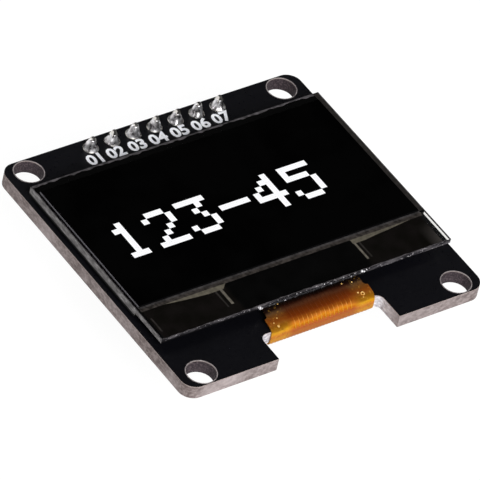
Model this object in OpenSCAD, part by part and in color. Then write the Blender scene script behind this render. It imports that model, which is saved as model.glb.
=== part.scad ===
// Small graphic OLED display module with a seven-pin header.
// A bare glass panel is taped to a carrier board, and its ribbon folds through a notch
// in the board's lower edge to a row of solder joints on the back.
// X runs along the header, Y points to the header, Z points out of the display's face.
// The origin is the centre of the four mounting holes, on the board's back face.

/* [Board] */
// Width of the board, along the header
board_w = 35.4; // [32:0.1:40]
// Height of the board, across the header
board_h = 33.5; // [30:0.1:38]
// Thickness of the board
board_t = 1.5; // [1.2:0.1:2]
// Radius of the board's outer corners
board_corner_r = 1.5; // [0.5:0.1:2]

/* [Mounting holes] */
// Diameter of the mounting holes
mount_d = 3; // [2:0.1:3]
// Distance from a hole's centre to the board's side
mount_edge_x = 2.5; // [1.8:0.05:4]
// Distance from a hole's centre to the board's upper or lower edge
mount_edge_y = 1.65; // [1.6:0.05:3]

/* [Ribbon notch] */
// Width of the notch in the board's lower edge
notch_w = 14.4; // [13:0.1:18]
// Depth of the notch from the board's lower edge
notch_depth = 3.4; // [3:0.1:3.8]
// Radius of the notch's two inner corners
notch_r = 0.8; // [0.3:0.1:1.2]

/* [Panel] */
// Clearance from the panel's glass to the board's sides
panel_side = 0.45; // [0.1:0.05:2]
// Clearance from the ledge's edge to the board's lower edge
panel_gap = 5.8; // [5.5:0.1:6.2]
// Clearance from the glass's upper edge to the board's, for the header
panel_top = 4.7; // [4:0.1:6]
// Thickness of the front glass
glass_t = 0.5; // [0.4:0.05:0.8]
// Thickness of the rear cap glass
cap_t = 0.5; // [0.4:0.05:1]
// Height of the ledge where the front glass runs past the cap
ledge_h = 4.5; // [4.3:0.1:6]
// Thickness of the tape between the cap and the board
tape_t = 0.35; // [0.3:0.05:0.6]
// Inset of the tape from the edges of the cap
tape_inset = 0.6; // [0.2:0.1:2]
// Thickness of the polarizer film
film_t = 0.2; // [0.1:0.01:0.3]
// Margin from the film to the glass's left side
film_left = 0.35; // [0.1:0.05:1.5]
// Margin from the film to the glass's right side
film_right = 0.75; // [0.1:0.05:1.5]
// Margin from the film to the glass's upper edge
film_top = 1.1; // [0.2:0.1:2]
// Margin from the film to the cap's lower edge
film_gap = 0.1; // [0:0.05:0.4]

/* [Driver chip] */
// Length of the driver chip under the ledge
chip_l = 13.4; // [8:0.1:20]
// Width of the driver chip
chip_w = 1.1; // [0.6:0.1:1.6]
// Thickness of the driver chip
chip_t = 0.3; // [0.2:0.05:0.4]
// Gap between the cap glass and the chip
chip_gap = 0.6; // [0.3:0.1:0.8]

/* [Ribbon] */
// Width of the ribbon where it passes the notch
ribbon_w = 12.3; // [9:0.1:12.6]
// Thickness of the ribbon
ribbon_t = 0.12; // [0.08:0.01:0.16]
// Length of the ribbon that is bonded to the ledge
bond_l = 1.7; // [1:0.1:2]
// Distance from the ledge's edge to where the ribbon starts to bend
bend_start = 0.4; // [0.1:0.1:1]
// Inner radius of the ribbon's bends on the display side
bend_r = 0.7; // [0.5:0.05:0.8]
// Inner radius of the ribbon's bend on the board's back
fold_r = 0.45; // [0.3:0.05:0.6]
// Clearance between the ribbon and the two edges of the board that it wraps
wrap_gap = 0.03; // [0.02:0.01:0.1]
// Distance of the ribbon's middle from the middle of the notch
ribbon_shift = 0.3; // [-0.5:0.1:0.5]
// Distance from the start of the bend to where the ribbon is at its full width
relief_l = 1.6; // [1.2:0.1:1.8]
// Depth of the relief that makes the ribbon narrower at each side beside the ledge
relief_depth = 0.4; // [0.2:0.1:0.6]
// Width of the ribbon's tail on the back
tail_w = 21.8; // [20.8:0.1:24]
// Height of the wide part of the tail
tail_h = 4.6; // [3:0.1:5]
// Distance from the notch's inner wall to the wide part of the tail
tail_neck = 1.6; // [1:0.1:2]
// Radius of the tail's corners
tail_r = 0.8; // [0.3:0.1:1]

/* [Ribbon solder] */
// Number of solder joints at the tail's end
finger_count = 30; // [20:1:30]
// Pitch of those solder joints
finger_pitch = 0.7; // [0.6:0.05:0.7]
// Width of one joint
finger_w = 0.44; // [0.3:0.02:0.5]
// Length of one joint
finger_l = 1.5; // [1:0.1:2]

/* [Header] */
// Number of pins
pin_count = 7; // [7:1:7]
// Pitch of the pins
pin_pitch = 2.54; // [2.5:0.01:2.54]
// Width of a pin across its flats
pin_w = 0.64; // [0.5:0.02:0.66]
// Length of a pin past the plastic strip
pin_tail_l = 6; // [3:0.5:12]
// Height of a pin's short end above the board
pin_tip_h = 1.4; // [1.2:0.1:2]
// Length of the taper at both ends of a pin
pin_taper_l = 0.5; // [0.2:0.1:1]
// Width of a pin's end face
pin_end_w = 0.3; // [0.2:0.02:0.4]
// Height of the plastic strip
strip_h = 2.54; // [1.5:0.01:3]
// Depth of the plastic strip across the row
strip_d = 2.5; // [2:0.1:2.5]
// Chamfer at the corners of each pin's block of the strip
strip_chamfer = 0.45; // [0.2:0.05:0.7]
// Distance from the pins to the board's upper edge
header_edge = 1.25; // [1.25:0.05:1.4]
// Diameter of the plated holes that the pins pass
pin_hole_d = 1; // [0.96:0.02:1.1]

/* [Solder joints] */
// Diameter of a joint at its foot
joint_d = 1.5; // [1.4:0.02:1.9]
// Height of a joint
joint_h = 1; // [0.8:0.05:1.1]
// Variation in height from one joint to the next
joint_vary = 0.1; // [0:0.01:0.1]
// Diameter of a joint where it meets its pin
joint_top_d = 0.98; // [0.96:0.01:1.1]

/* [Chip parts] */
// Length of a chip capacitor or resistor
chip_part_l = 1.6; // [1:0.1:1.8]
// Width of a chip capacitor or resistor
chip_part_w = 0.8; // [0.5:0.1:1]
// Height of a chip capacitor
capacitor_h = 0.8; // [0.4:0.05:1]
// Height of a chip resistor
resistor_h = 0.45; // [0.3:0.05:0.6]
// Length of the metal cap at each end
end_cap_l = 0.3; // [0.2:0.05:0.4]
// How far the metal caps stand out of the body
end_cap_t = 0.03; // [0.01:0.01:0.05]
// Pitch of the capacitors in their row
capacitor_pitch = 3; // [2:0.1:3.5]
// Distance from the ribbon's tail to the row of capacitors
capacitor_row = 4.65; // [3:0.05:5]
// Distance from the board's side to the first column of resistors
resistor_side = 5.7; // [4:0.1:7]
// Distance between the two columns of resistors
resistor_columns = 4.5; // [3:0.1:5]
// Pitch of the resistors in a column
resistor_pitch = 2; // [1.5:0.1:2.2]
// Distance from the pins to the columns' upper ends
resistor_top = 6.5; // [5:0.1:7]

/* [Regulator] */
// Length of the regulator's case, along its two-lead side
reg_l = 2.9; // [2.6:0.1:3.1]
// Width of the regulator's case
reg_w = 1.3; // [1.2:0.1:1.6]
// Height of the regulator's top above the board
reg_h = 1.1; // [0.9:0.05:1.3]
// Gap under the regulator's case
reg_gap = 0.08; // [0.02:0.01:0.15]
// Pitch of the two leads on one side
reg_pitch = 1.9; // [1.7:0.05:2]
// Width of a lead
lead_w = 0.42; // [0.3:0.02:0.5]
// Thickness of a lead
lead_t = 0.13; // [0.1:0.01:0.2]
// Distance from the case to the end of a lead
lead_reach = 0.55; // [0.45:0.05:0.8]
// Length of a lead's foot on the board
foot_l = 0.3; // [0.2:0.05:0.35]
// Distance from the regulator to the board's side
reg_side = 7.2; // [4:0.1:8]
// Distance from the regulator to the pins
reg_top = 8; // [5:0.1:9]
// Distance from the regulator to the capacitor beside it
reg_capacitor = 4; // [3:0.1:5]

/* [Hidden] */
$fn = 64;
eps = 0.5;                                       // overrun of a cut past the face it opens
pin_ids = [1 : pin_count];

// Levels of the stack, from the board's back at zero
cap_z = board_t + tape_t;
glass_z = cap_z + cap_t;
film_z = glass_z + glass_t;

// Places of the panel's edges
glass_w = board_w - 2 * panel_side;
ledge_y = -board_h / 2 + panel_gap;
cap_y = ledge_y + ledge_h;
glass_top_y = board_h / 2 - panel_top;

// Places of the mounting holes and of the pin row
mount_x = board_w / 2 - mount_edge_x;
mount_y = board_h / 2 - mount_edge_y;
header_y = board_h / 2 - header_edge;
function pin_x(i) = (i - (pin_count + 1) / 2) * pin_pitch;

// The ribbon's path in the YZ plane, along the middle of its thickness
notch_y = -board_h / 2 + notch_depth;
bend_mid_r = bend_r + ribbon_t / 2;
fold_mid_r = fold_r + ribbon_t / 2;
ledge_bend = [ledge_y + bend_start, glass_z - ribbon_t / 2 - bend_mid_r];
fold_in = (fold_r - wrap_gap) / sqrt(2);         // from the board's back edge to the fold's centre
wall_gap = fold_r - fold_in;                     // from the notch's inner wall to the ribbon
tail_gap = fold_r - fold_in;                     // from the board's back to the ribbon's tail
back_fold = [notch_y + fold_in, fold_in];
bend_drop = sqrt(pow(bend_r - wrap_gap, 2) - pow(bend_r - wall_gap, 2));
notch_bend = [notch_y - wall_gap + bend_r, board_t - bend_drop];
slope = ledge_bend - notch_bend;
slope_angle = atan2(slope.y, slope.x);
tail_z = -tail_gap - ribbon_t;
tail_y = notch_y + tail_neck;
tail_end_y = tail_y + tail_h;

// Places of the parts on the back, with the turn of each
reg_place = [board_w / 2 - reg_side, header_y - reg_top, 90];
capacitor_places = concat(
    [for (k = [-3 : 3]) [k * capacitor_pitch, tail_end_y + capacitor_row, 90]],
    [[reg_place.x - reg_capacitor, reg_place.y, 90]]);
resistor_places = [for (column = [0, 1], k = [3 : -1 : 0])
    [-board_w / 2 + resistor_side + column * resistor_columns,
     header_y - resistor_top - k * resistor_pitch, 0]];

// A rectangle with its corners rounded, centred on the origin
module rounded_rect(w, h, r) {
    square([w - 2 * r, h], center = true);
    square([w, h - 2 * r], center = true);
    for (sx = [-1, 1], sy = [-1, 1])
        translate([sx * (w / 2 - r), sy * (h / 2 - r)]) circle(r);
}

// The notch, open past the lower edge, with rounded inner corners
module notch_outline() {
    translate([-notch_w / 2, -board_h / 2 - eps]) square([notch_w, notch_depth + eps - notch_r]);
    translate([-notch_w / 2 + notch_r, -board_h / 2 - eps])
        square([notch_w - 2 * notch_r, notch_depth + eps]);
    for (side = [-1, 1])
        translate([side * (notch_w / 2 - notch_r), notch_y - notch_r]) circle(notch_r);
}

module pcb() {
    color("#101013")
        linear_extrude(board_t) difference() {
            rounded_rect(board_w, board_h, board_corner_r);
            notch_outline();
            for (sx = [-1, 1], sy = [-1, 1])
                translate([sx * mount_x, sy * mount_y]) circle(d = mount_d);
            for (i = pin_ids) translate([pin_x(i), header_y]) circle(d = pin_hole_d);
        }
}

// A plate of the panel, from lower edge y0 to upper edge y1, with its sides inset
module panel_plate(y0, y1, inset, z, t) {
    translate([-glass_w / 2 + inset, y0, z]) cube([glass_w - 2 * inset, y1 - y0, t]);
}

module adhesive_tape() {
    color("#1a1a1c")
        panel_plate(cap_y + tape_inset, glass_top_y - tape_inset, tape_inset, board_t, tape_t);
}

module cap_glass() { color("#2c2e30") panel_plate(cap_y, glass_top_y, 0, cap_z, cap_t); }

module substrate_glass() {
    color("#3a3d3e") panel_plate(ledge_y, glass_top_y, 0, glass_z, glass_t);
}

module polarizer() {
    color("#050506")
        translate([film_left - glass_w / 2, cap_y + film_gap, film_z])
            cube([glass_w - film_left - film_right, glass_top_y - film_top - cap_y - film_gap,
                  film_t]);
}

module driver_chip() {
    color("#26262a")
        translate([-chip_l / 2, cap_y - chip_gap - chip_w, glass_z - chip_t])
            cube([chip_l, chip_w, chip_t]);
}

// The side view of all that the ribbon wraps, out to a distance from the middle of its thickness
module wrapped_area(out) {
    r = bend_mid_r + out;
    fold = fold_mid_r + out;
    up_slope = [-sin(slope_angle), cos(slope_angle)];
    bond_end = ledge_bend.x + bond_l;
    tail_end = tail_y + tail_r;
    polygon([[bond_end, 0], [bond_end, ledge_bend.y + r], [ledge_bend.x, ledge_bend.y + r],
             ledge_bend + r * up_slope, notch_bend + r * up_slope, notch_bend - [r, 0],
             back_fold - [fold, 0], back_fold - [0, fold], [tail_end, back_fold.y - fold],
             [tail_end, 0]]);
    for (centre = [ledge_bend, notch_bend]) translate(centre) circle(r);
    translate(back_fold) circle(fold);
}

// The wide end of the ribbon on the board's back, with rounded corners
module tail_outline() {
    translate([0, tail_y + tail_h / 2]) rounded_rect(tail_w, tail_h, tail_r);
    translate([ribbon_shift, tail_y - tail_r]) difference() {
        translate([-ribbon_w / 2 - tail_r, 0]) square([ribbon_w + 2 * tail_r, 2 * tail_r]);
        for (side = [-1, 1]) translate([side * (ribbon_w / 2 + tail_r), 0]) circle(tail_r);
    }
}

// What the relief takes from the ribbon's right side: a strip with a round inner corner
module relief_outline() {
    length = relief_l + bond_l + eps;
    translate([ribbon_w / 2, ledge_bend.x - relief_l]) {
        translate([-relief_depth, relief_depth])
            square([relief_depth + eps, length - relief_depth]);
        translate([0, relief_depth]) circle(relief_depth);
    }
}

module display_ribbon() {
    color("#c47a14") {
        translate([ribbon_shift, 0, 0]) difference() {
            translate([-ribbon_w / 2, 0, 0])
                rotate([90, 0, 90]) linear_extrude(ribbon_w) difference() {
                    wrapped_area(ribbon_t / 2);
                    wrapped_area(-ribbon_t / 2);
                }
            for (side = [0, 1]) mirror([side, 0, 0])
                translate([0, 0, board_t]) linear_extrude(glass_z - board_t + eps)
                    relief_outline();
        }
        translate([0, 0, tail_z]) linear_extrude(ribbon_t) tail_outline();
    }
}

// One bead of solder that joins the ribbon's end to the board: a round bar with round ends
module solder_bead() {
    r = finger_w / 2;
    straight = finger_l - finger_w;
    depth = tail_gap + ribbon_t;
    translate([0, -straight / 2, -depth]) {
        rotate([-90, 0, 0]) cylinder(h = straight, r = r);
        for (end = [0, straight]) translate([0, end, 0]) sphere(r);
    }
    translate([-r, 0, -depth]) cube([2 * r, straight / 2, depth]);
    translate([0, straight / 2, -depth]) cylinder(h = depth, r = r);
}

module ribbon_solder() {
    color("#b8b6b2") difference() {
        for (i = [1 : finger_count])
            translate([(i - (finger_count + 1) / 2) * finger_pitch, tail_end_y, 0]) solder_bead();
        translate([-tail_w / 2 - eps, tail_y, tail_z])
            cube([tail_w + 2 * eps, tail_h, ribbon_t + tail_gap + eps]);
    }
}

// The plastic strip: one eight-sided block for each pin, joined end to end
module header_strip() {
    half = [pin_pitch / 2, strip_d / 2];
    cut = strip_chamfer;
    corners = [[half.x, half.y - cut], [half.x - cut, half.y]];
    block = [for (q = [[1, 1], [-1, 1], [-1, -1], [1, -1]])
        each (q.x * q.y > 0 ? [for (p = corners) [q.x * p.x, q.y * p.y]]
                            : [for (p = [corners[1], corners[0]]) [q.x * p.x, q.y * p.y]])];
    color("#16161a")
        translate([0, header_y, -strip_h]) linear_extrude(strip_h) difference() {
            for (i = pin_ids) translate([pin_x(i), 0]) polygon(block);
            for (i = pin_ids) translate([pin_x(i), 0]) square(pin_w, center = true);
        }
}

// The side view of a pin, tapered at both ends
module pin_profile() {
    low = -strip_h - pin_tail_l;
    high = board_t + pin_tip_h;
    w = pin_w / 2;
    e = pin_end_w / 2;
    polygon([[-e, low], [e, low], [w, low + pin_taper_l], [w, high - pin_taper_l],
             [e, high], [-e, high], [-w, high - pin_taper_l], [-w, low + pin_taper_l]]);
}

module header_pin(i) {
    color("#d8c690") translate([pin_x(i), header_y, 0]) intersection() {
        rotate([90, 0, 0]) linear_extrude(pin_w, center = true) pin_profile();
        rotate([90, 0, 90]) linear_extrude(pin_w, center = true) pin_profile();
    }
}

// A solder fillet that sweeps up from its pad to the pin, and fills the plated hole
module solder_joint(i) {
    steps = 10;
    h = joint_h + joint_vary * sin(137 * i);
    foot = joint_d / 2;
    top = joint_top_d / 2;
    sweep = [for (k = [0 : steps]) let (a = 90 * k / steps)
        [foot - (foot - top) * sin(a), board_t + h * (1 - cos(a))]];
    color("#c9c6c2") translate([pin_x(i), header_y, 0]) difference() {
        union() {
            rotate_extrude() polygon(concat([[0, board_t]], sweep, [[0, board_t + h]]));
            cylinder(h = board_t, d = pin_hole_d);
        }
        translate([-pin_w / 2, -pin_w / 2, -eps]) cube([pin_w, pin_w, board_t + h + 2 * eps]);
    }
}

// Puts a part on the board's back: its own Z points away from the board
module on_back(place) {
    translate([place.x, place.y, 0]) rotate(place.z) mirror([0, 0, 1]) children();
}

// A chip part: a block between two metal end caps
module chip_part(h) {
    inner = [chip_part_l - 2 * end_cap_l, chip_part_w - 2 * end_cap_t, h - end_cap_t];
    translate([-inner.x / 2, -inner.y / 2, 0]) cube(inner);
    for (side = [-1, 1])
        translate([side * (chip_part_l - end_cap_l) / 2 - end_cap_l / 2, -chip_part_w / 2, 0])
            cube([end_cap_l, chip_part_w, h]);
}

module capacitor(i) { color("#b39a78") on_back(capacitor_places[i - 1]) chip_part(capacitor_h); }

module resistor(i) { color("#1c1c20") on_back(resistor_places[i - 1]) chip_part(resistor_h); }

// The regulator's moulded case: upper and lower halves taper away from the parting line
module regulator_case() {
    draft = 0.08;
    mid = (reg_h + reg_gap) / 2;
    side = function (w) [[-w / 2 + draft, reg_gap], [w / 2 - draft, reg_gap], [w / 2, mid],
        [w / 2 - draft, reg_h], [-w / 2 + draft, reg_h], [-w / 2, mid]];
    color("#141416") on_back(reg_place) intersection() {
        rotate([90, 0, 0]) linear_extrude(reg_w, center = true) polygon(side(reg_l));
        rotate([90, 0, 90]) linear_extrude(reg_l, center = true) polygon(side(reg_w));
    }
}

// One bent lead, from the case's parting line down to its foot on the board
module lead() {
    mid = (reg_h + reg_gap) / 2;
    y = reg_w / 2;
    knee = lead_reach - foot_l;
    translate([-lead_w / 2, 0, 0]) rotate([90, 0, 90]) linear_extrude(lead_w)
        polygon([[y, mid - lead_t / 2], [y + knee - lead_t, mid - lead_t / 2],
                 [y + knee, 0], [y + lead_reach, 0], [y + lead_reach, lead_t],
                 [y + knee + lead_t, lead_t], [y + knee, mid + lead_t / 2],
                 [y, mid + lead_t / 2]]);
}

module regulator_leads() {
    color("#c4c2be") on_back(reg_place) {
        for (side = [-1, 1]) translate([side * reg_pitch / 2, 0, 0]) lead();
        mirror([0, 1, 0]) lead();
    }
}

pcb();
adhesive_tape();
cap_glass();
substrate_glass();
polarizer();
driver_chip();
display_ribbon();
ribbon_solder();
header_strip();
for (i = pin_ids) header_pin(i);
for (i = pin_ids) solder_joint(i);
regulator_case();
regulator_leads();
for (i = [1 : len(capacitor_places)])
    capacitor(i);
for (i = [1 : len(resistor_places)])
    resistor(i);
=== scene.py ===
"""The finish of a small display module: board, glass panel, ribbon, header and back parts."""

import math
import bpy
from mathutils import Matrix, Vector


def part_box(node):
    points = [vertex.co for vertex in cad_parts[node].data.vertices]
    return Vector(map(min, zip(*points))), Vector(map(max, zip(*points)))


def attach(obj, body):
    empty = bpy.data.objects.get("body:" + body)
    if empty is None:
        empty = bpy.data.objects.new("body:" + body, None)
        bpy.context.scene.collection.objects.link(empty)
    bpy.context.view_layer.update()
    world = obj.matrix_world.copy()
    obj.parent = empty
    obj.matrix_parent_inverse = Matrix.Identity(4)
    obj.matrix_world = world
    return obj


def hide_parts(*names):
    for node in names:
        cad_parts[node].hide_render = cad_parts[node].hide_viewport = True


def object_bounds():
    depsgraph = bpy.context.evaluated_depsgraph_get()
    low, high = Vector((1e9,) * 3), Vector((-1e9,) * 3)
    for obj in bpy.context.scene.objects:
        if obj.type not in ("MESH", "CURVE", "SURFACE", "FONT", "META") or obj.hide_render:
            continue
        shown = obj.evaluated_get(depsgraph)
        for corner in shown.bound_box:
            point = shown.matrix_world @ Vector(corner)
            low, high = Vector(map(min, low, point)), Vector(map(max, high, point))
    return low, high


bl_info = {
    "name": "Display Module Finish",
    "version": (1, 0, 0),
    "blender": (4, 5, 0),
    "location": "View3D > Sidebar > Display Module",
    "description": "Finishes the board, glass panel, ribbon, header and back of a display module",
    "category": "Object",
}

import bmesh
import bpy
from bpy.props import (FloatProperty, FloatVectorProperty, IntProperty, PointerProperty,
                       StringProperty)
from mathutils import Matrix, Vector, noise

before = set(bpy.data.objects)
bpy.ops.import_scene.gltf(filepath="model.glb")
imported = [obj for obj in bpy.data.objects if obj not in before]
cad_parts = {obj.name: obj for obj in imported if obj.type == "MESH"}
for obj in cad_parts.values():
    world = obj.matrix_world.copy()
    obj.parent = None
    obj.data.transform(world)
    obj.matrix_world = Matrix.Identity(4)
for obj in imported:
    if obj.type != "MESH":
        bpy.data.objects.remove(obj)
cad_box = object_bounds()

MM = 0.001
BODY = "root"

# Kinds of node that the finishes use most
RAMP, MIX, MATH = "ShaderNodeValToRGB", "ShaderNodeMix", "ShaderNodeMath"
RANGE, VECTOR = "ShaderNodeMapRange", "ShaderNodeVectorMath"
SPLIT, COMBINE = "ShaderNodeSeparateXYZ", "ShaderNodeCombineXYZ"


def middle_of(name):
    """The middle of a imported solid's box."""
    low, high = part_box(name)
    return (low + high) / 2


# Faces of the stack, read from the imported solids
BOARD_LOW, BOARD_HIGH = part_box("pcb")
GLASS_LOW, GLASS_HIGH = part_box("substrate_glass")
FILM_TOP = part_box("polarizer")[1].z
RIBBON_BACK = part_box("display_ribbon")[0].z
PINS = [middle_of(name) for name in sorted(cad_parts) if name.startswith("header_pin_")]

# The mounting holes' distances from the middle, and their radius
HOLE_X, HOLE_Y, HOLE_RADIUS = 15.2 * MM, 15.1 * MM, 1.5 * MM
# How far a print stands over its face, and the thickness of a print on the glass
PRINT_LIFT, PRINT_STEP = 0.004 * MM, 0.002 * MM


def linear(code):
    """An sRGB hex colour as linear red, green and blue."""
    values = [int(code[i:i + 2], 16) / 255 for i in (1, 3, 5)]
    return tuple(v / 12.92 if v <= 0.04045 else ((v + 0.055) / 1.055) ** 2.4 for v in values)


# ---- settings

def colour(name, description, code):
    """A colour setting."""
    return FloatVectorProperty(name=name, description=description, subtype="COLOR",
                               size=3, min=0, max=1, default=linear(code))


def length(name, description, millimetres):
    """A length setting, written in millimetres."""
    return FloatProperty(name=name, description=description, unit="LENGTH", precision=5,
                         default=millimetres * MM)


def amount(name, description, default, unit="NONE"):
    """A plain number, a lamp's power in watts or a lens in millimetres."""
    return FloatProperty(name=name, description=description, unit=unit, default=default)


class StageSettings(bpy.types.PropertyGroup):
    """The floor, the lamps and the camera."""
    floor_radius: length("Floor radius", "Radius of the level part of the floor", 1100)
    floor_rise: length("Backdrop height", "Height that the floor sweeps up to at its rim", 420)
    key_power: amount("Key lamp", "Power of the large front lamp", 10.2, "POWER")
    fill_power: amount("Fill lamp", "Power of the side lamp", 0.3, "POWER")
    rear_power: amount("Rear lamp", "Power of the lamp behind", 2.2, "POWER")
    lamp_distance: length("Lamp distance", "Distance from each lamp to the module", 900)
    surround: amount("Surround", "Brightness of the room's light", 0.04)
    distance: length("Camera distance", "Distance from the camera to what it looks at", 665.365)
    lens: amount("Lens", "Focal length in millimetres", 513.87, "CAMERA")


class BoardSettings(bpy.types.PropertyGroup):
    """The board's mask, print and plated rings."""
    mask_colour: colour("Mask colour", "Colour of the solder mask", "#0a0a0e")
    ink_colour: colour("Ink colour", "Colour of the printed numbers", "#fcfdff")
    number_height: length("Number height", "Height of a pin's number", 1.45)
    number_drop: length("Number drop", "Distance from the pins to the middle of the numbers", 1.5)
    number_shift: length("Number shift", "How far the numbers stand to the left", 0.55)
    hole_ring: length("Hole ring", "Width of the bare ring round a mounting hole", 0.1)
    pad_width: length("Pad", "Diameter of the tinned pad round a pin", 1.62)
    via_width: length("Via", "Diameter of a via's rim", 0.6)
    track_width: length("Track width", "Width of a copper track under the mask", 0.3)


class PanelSettings(bpy.types.PropertyGroup):
    """The glass panel and what it shows."""
    dot_pitch: length("Dot pitch", "Distance between two dots of the display", 0.23)
    dot_width: length("Dot width", "Width of one lit dot", 0.222)
    readout: StringProperty(name="Readout", description="The figures shown", default="123-45")
    cell: IntProperty(name="Cell", description="Dots along the side of a figure's cell",
                      default=3, min=1)
    readout_left: length("Readout left", "Place of the readout's left edge", -14.2)
    readout_top: length("Readout top", "Place of the readout's upper edge", 4.2)
    light: amount("Light", "Brightness of a lit dot", 1.0)


class RibbonSettings(bpy.types.PropertyGroup):
    """The copper under the ribbon's cover film."""
    trace_count: IntProperty(name="Traces", description="Number of copper traces", default=14)
    trace_middle: length("Trace middle", "Place of the middle of the traces", 0.25)
    trace_pitch: length("Trace pitch", "Distance between two traces", 0.515)
    trace_width: length("Trace width", "Width of a trace", 0.32)
    tail_trace_width: length("Tail trace width", "Width of a trace on the tail", 0.26)


class PartsSettings(bpy.types.PropertyGroup):
    """The solder, the pins and the parts on the back."""
    solder_wobble: amount("Solder wobble", "Unevenness of the fillets", 0.22)
    terminal_length: length("Terminal length", "Length of a chip part's terminal", 0.3)
    terminal_skin: length("Terminal skin", "How far a terminal stands over the part", 0.012)
    fillet_reach: length("Fillet reach", "How far a fillet spreads from a terminal", 0.28)


# ---- nodes

def tone(shade):
    """A hex code, a plain level or a linear colour as the four numbers of a colour socket."""
    if isinstance(shade, str):
        shade = linear(shade)
    return (*shade[:3], 1) if isinstance(shade, tuple) else (shade, shade, shade, 1)


def add(tree, kind, inputs=(), stops=(), **settings):
    """Adds a node with its settings, and sets or links its inputs by name or in their order.
    A node given as an input stands for its first live output. Stops are a ramp's positions
    with their shades."""
    node = tree.nodes.new(kind)
    for name, value in settings.items():
        setattr(node, name, value)
    if stops:
        points = node.color_ramp.elements
        while len(points) < len(stops):
            points.new(0.5)
        for point, (position, shade) in zip(points, stops):
            point.position, point.color = position, tone(shade)
    for key, value in inputs.items() if isinstance(inputs, dict) else enumerate(inputs):
        socket = node.inputs[key]
        if isinstance(value, bpy.types.Node):
            value = next(output for output in value.outputs if output.enabled)
        if isinstance(value, bpy.types.NodeSocket):
            tree.links.new(value, socket)
        else:
            socket.default_value = tone(value) if socket.type == "RGBA" else value
    return node


def new_material(name):
    """A new material, its empty tree, its coordinates and X, Y and Z of each point."""
    material = bpy.data.materials.new(name)
    material.use_nodes = True
    tree = material.node_tree
    tree.nodes.clear()
    place = add(tree, "ShaderNodeTexCoord")
    return material, tree, place, add(tree, SPLIT, [place.outputs["Object"]]).outputs


def finished(material, relief=(), gloss=(), **sockets):
    """Ends a material in its shader. Relief is a height, its depth in millimetres and its
    strength; gloss is a grain and the roughness where it is dark and where it is bright. An
    underscore in a socket's name stands for a space."""
    tree = material.node_tree
    values = {name.replace("_", " "): value for name, value in sockets.items()}
    if relief:
        height, depth, strength = relief
        values["Normal"] = add(tree, "ShaderNodeBump", {
            "Height": height, "Distance": depth * MM, "Strength": strength})
    if gloss:
        values["Roughness"] = add(tree, RAMP, gloss[:1], ((0.3, gloss[1]), (0.7, gloss[2])))
    add(tree, "ShaderNodeOutputMaterial", [add(tree, "ShaderNodeBsdfPrincipled", values)])
    return material


def facing(tree, place, axis):
    """1 where a surface faces along an axis, either way, and 0 elsewhere."""
    normal = add(tree, SPLIT, [place.outputs["Normal"]])
    size = add(tree, MATH, [normal.outputs[axis]], operation="ABSOLUTE")
    return add(tree, MATH, [size, 0.6], operation="GREATER_THAN")


def grain(tree, place, size, detail=3, stretch=(1, 1, 1)):
    """Noise with features of a real size in millimetres, stretched along each axis."""
    mapped = add(tree, "ShaderNodeMapping", {"Vector": place.outputs["Object"],
                                             "Scale": tuple(1 / s for s in stretch)})
    return add(tree, "ShaderNodeTexNoise", {"Vector": mapped, "Scale": 0.5 / (size * MM),
                                            "Detail": detail})


def layered(tree, base, *layers):
    """A base colour with others laid over it in turn, each where its mask is 1."""
    for mask, shade in layers:
        base = add(tree, MIX, {0: mask, 6: base, 7: shade}, data_type="RGBA")
    return base


def sideways(tree, x, middle):
    """Distance to the left or right of a middle line in millimetres."""
    offset = add(tree, MATH, [x, middle * MM], operation="SUBTRACT")
    return add(tree, MATH, [offset], operation="ABSOLUTE")


# ---- pieces

def new_object(name, data):
    """A new object in the scene."""
    piece = bpy.data.objects.new(name, data)
    bpy.context.scene.collection.objects.link(piece)
    return piece


def coat(material, *names):
    """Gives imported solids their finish."""
    for name in names:
        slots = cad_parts[name].data.materials
        slots.clear()
        slots.append(material)


def solid(name, shape, material, smooth=False, outward=True):
    """A new object from a bmesh, with its faces turned outwards."""
    if outward:
        bmesh.ops.recalc_face_normals(shape, faces=shape.faces)
    mesh = bpy.data.meshes.new(name)
    shape.to_mesh(mesh)
    shape.free()
    mesh.materials.append(material)
    if smooth is not None:
        mesh.polygons.foreach_set("use_smooth", [smooth] * len(mesh.polygons))
    return new_object(name, mesh)


def angles(sides):
    """Even angles round a full turn."""
    return [2 * math.pi * k / sides for k in range(sides)]


def bridge(shape, rings, ends="CAPS"):
    """Walls between neighbouring rings of points. The ends are capped, or joined to each other,
    or only the first has a cap."""
    rings = [[shape.verts.new(point) for point in ring] for ring in rings]
    for one, two in zip(rings, rings[1:] + (rings[:1] if ends == "JOINED" else [])):
        for k in range(len(one)):
            after = (k + 1) % len(one)
            shape.faces.new((one[k], two[k], two[after], one[after]))
    if ends != "JOINED":
        shape.faces.new(rings[0])
    if ends == "CAPS":
        shape.faces.new(rings[-1][::-1])


def keep(piece, slot, *nodes):
    """Puts a finished piece on the part's body and hides the solids that it stands for. Its slot
    is not used.
    """
    if not piece.data.polygons:
        raise RuntimeError(f"{piece.name} came out empty")
    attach(piece, BODY)
    if nodes:
        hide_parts(*nodes)


def point_cloud(name, points, turns=None, edges=()):
    """An object of bare points and edges, each point with a turn about Z in radians."""
    mesh = bpy.data.meshes.new(name)
    mesh.from_pydata(points, edges, [])
    turn = mesh.attributes.new("turn", "FLOAT", "POINT")
    turn.data.foreach_set("value", turns or [0.0] * len(points))
    return new_object(name, mesh)


def polylines(name, routes):
    """An object of bare edges through each route's points."""
    points, edges = [], []
    for route in routes:
        edges += [(len(points) + i, len(points) + i + 1) for i in range(len(route) - 1)]
        points += route
    return point_cloud(name, points, edges=edges)


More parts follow.
